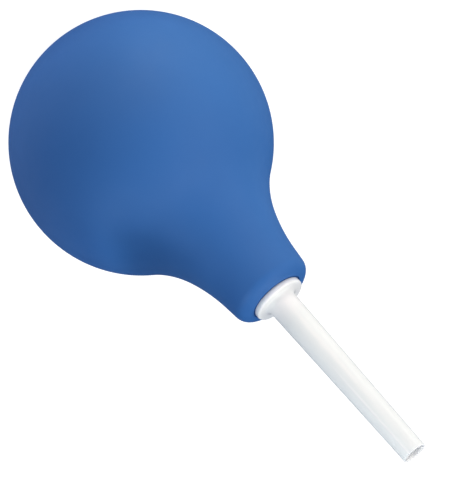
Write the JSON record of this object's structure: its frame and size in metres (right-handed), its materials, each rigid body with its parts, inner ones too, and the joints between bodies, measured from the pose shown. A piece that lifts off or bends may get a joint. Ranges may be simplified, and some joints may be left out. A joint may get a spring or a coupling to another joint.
{
  "type": "bulb nasal aspirator",
  "caption": "Round rubber squeeze bulb with a bell-shaped neck and a slim push-in plastic nozzle with a flange, for clearing a baby's nose.",
  "frame": {"origin": "centre of the bulb's flat base, on the surface it stands on", "axes": "+Z along the common axis of bulb and nozzle, towards the nozzle's tip; every piece is turned about it, so +X and +Y are interchangeable"},
  "size_m": [0.05, 0.05, 0.1034],
  "materials": {
    "rubber": "satin",
    "plastic": "semi-gloss"
  },
  "bodies": {
    "bulb": {"bulb_ball": "rubber"},
    "neck": {"bulb_neck": "rubber"},
    "nozzle": {"nozzle": "plastic"}
  },
  "joints": [
    {"name": "bulb_squeeze", "type": "slide", "parent": "bulb", "child": "neck", "axis": [0, 0, -1], "range_m": [0, 0.014], "stiffness_N_per_m": 700, "deforming": ["bulb_ball"]},
    {"name": "nozzle_pull", "type": "slide", "parent": "neck", "child": "nozzle", "axis": [0, 0, 1], "range_m": [0, 0.011]}
  ]
}
